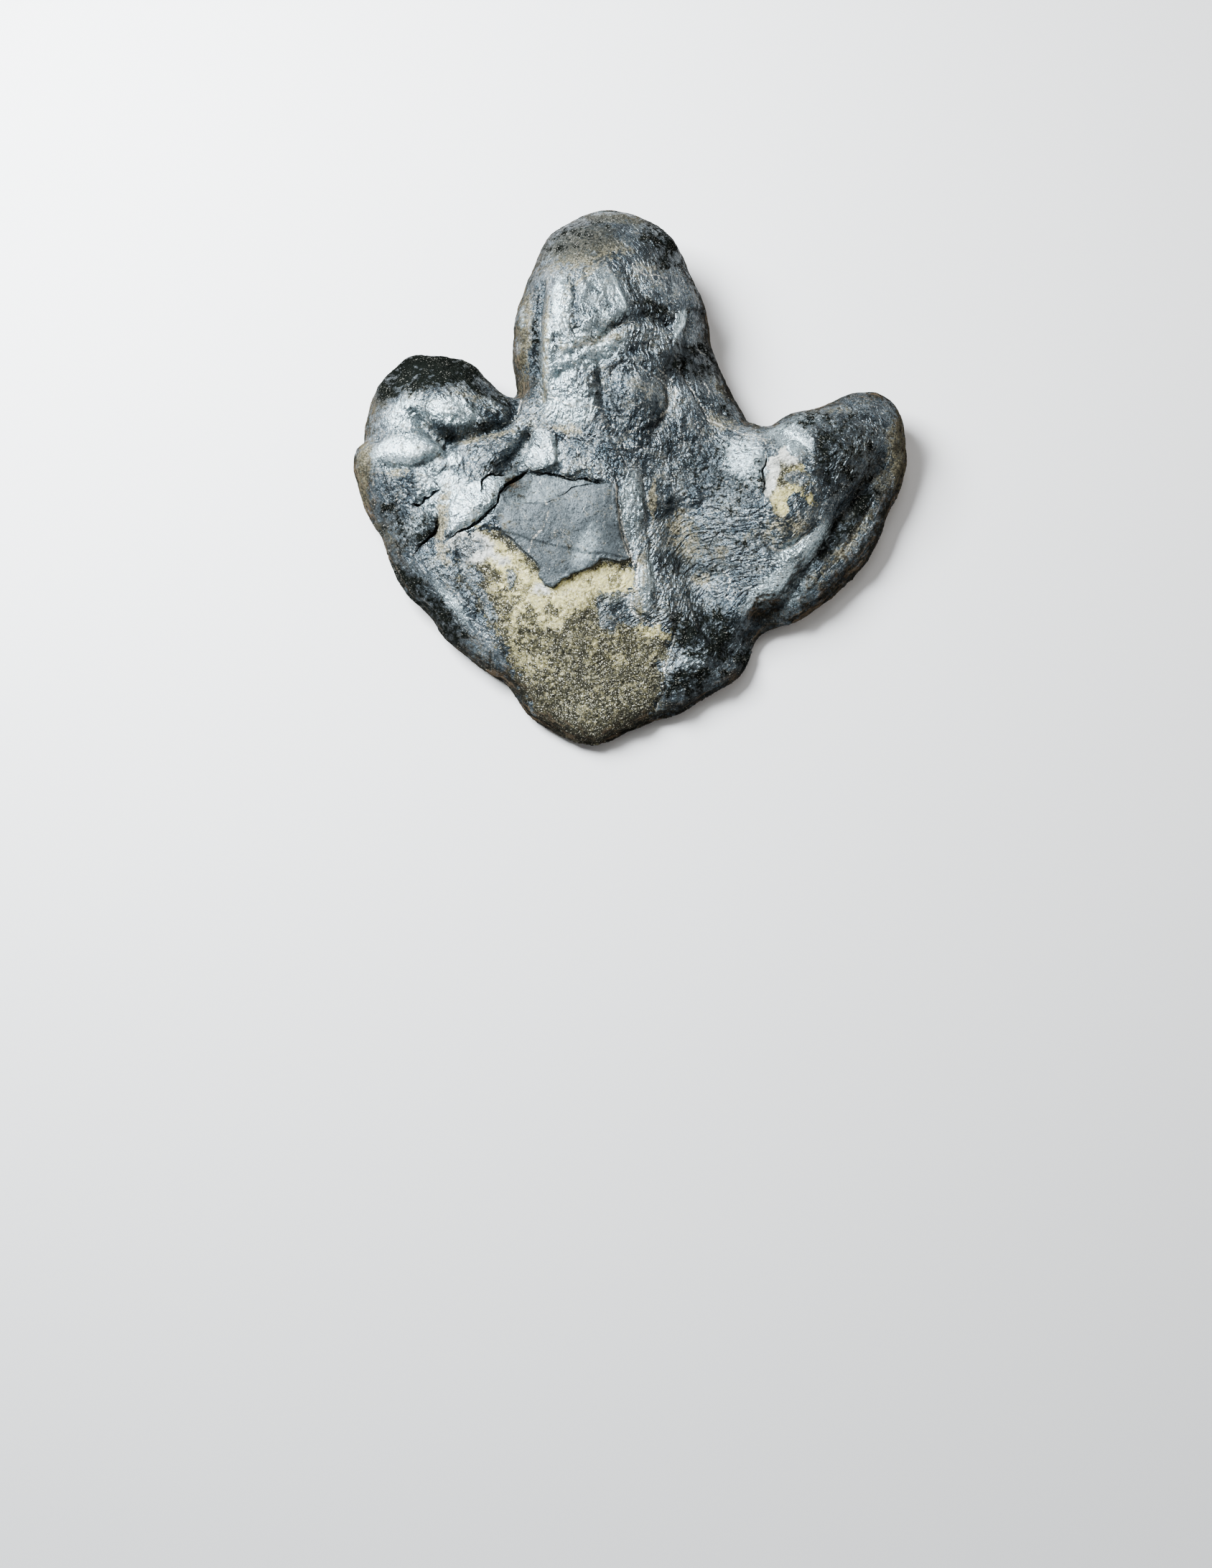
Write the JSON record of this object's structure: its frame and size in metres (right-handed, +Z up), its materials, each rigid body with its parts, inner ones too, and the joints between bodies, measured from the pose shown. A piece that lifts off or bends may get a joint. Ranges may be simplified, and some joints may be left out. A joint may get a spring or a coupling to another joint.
{
  "type": "fossil dinosaur footprint",
  "caption": "Natural stone cast of a three-toed duck-billed dinosaur footprint, sole side up, with rounded toes, a shallow heel, folds, cracks and a flat back to rest on.",
  "frame": {"origin": "centre of the bounding box's bottom face, on the plane of the flat back", "axes": "+Z up out of the sole, +Y from the heel to the tip of the middle toe, +X to the short outer toe"},
  "size_m": [0.686, 0.673, 0.152],
  "materials": {
    "carbon_skinned_sandstone": "dark graphite-grey carbon-rich skin with a satin sheen, olive and brown stains, flaked to matt cream-yellow sandstone over the heel"
  },
  "bodies": {
    "root": {"footprint_cast": "carbon_skinned_sandstone"}
  },
  "joints": []
}
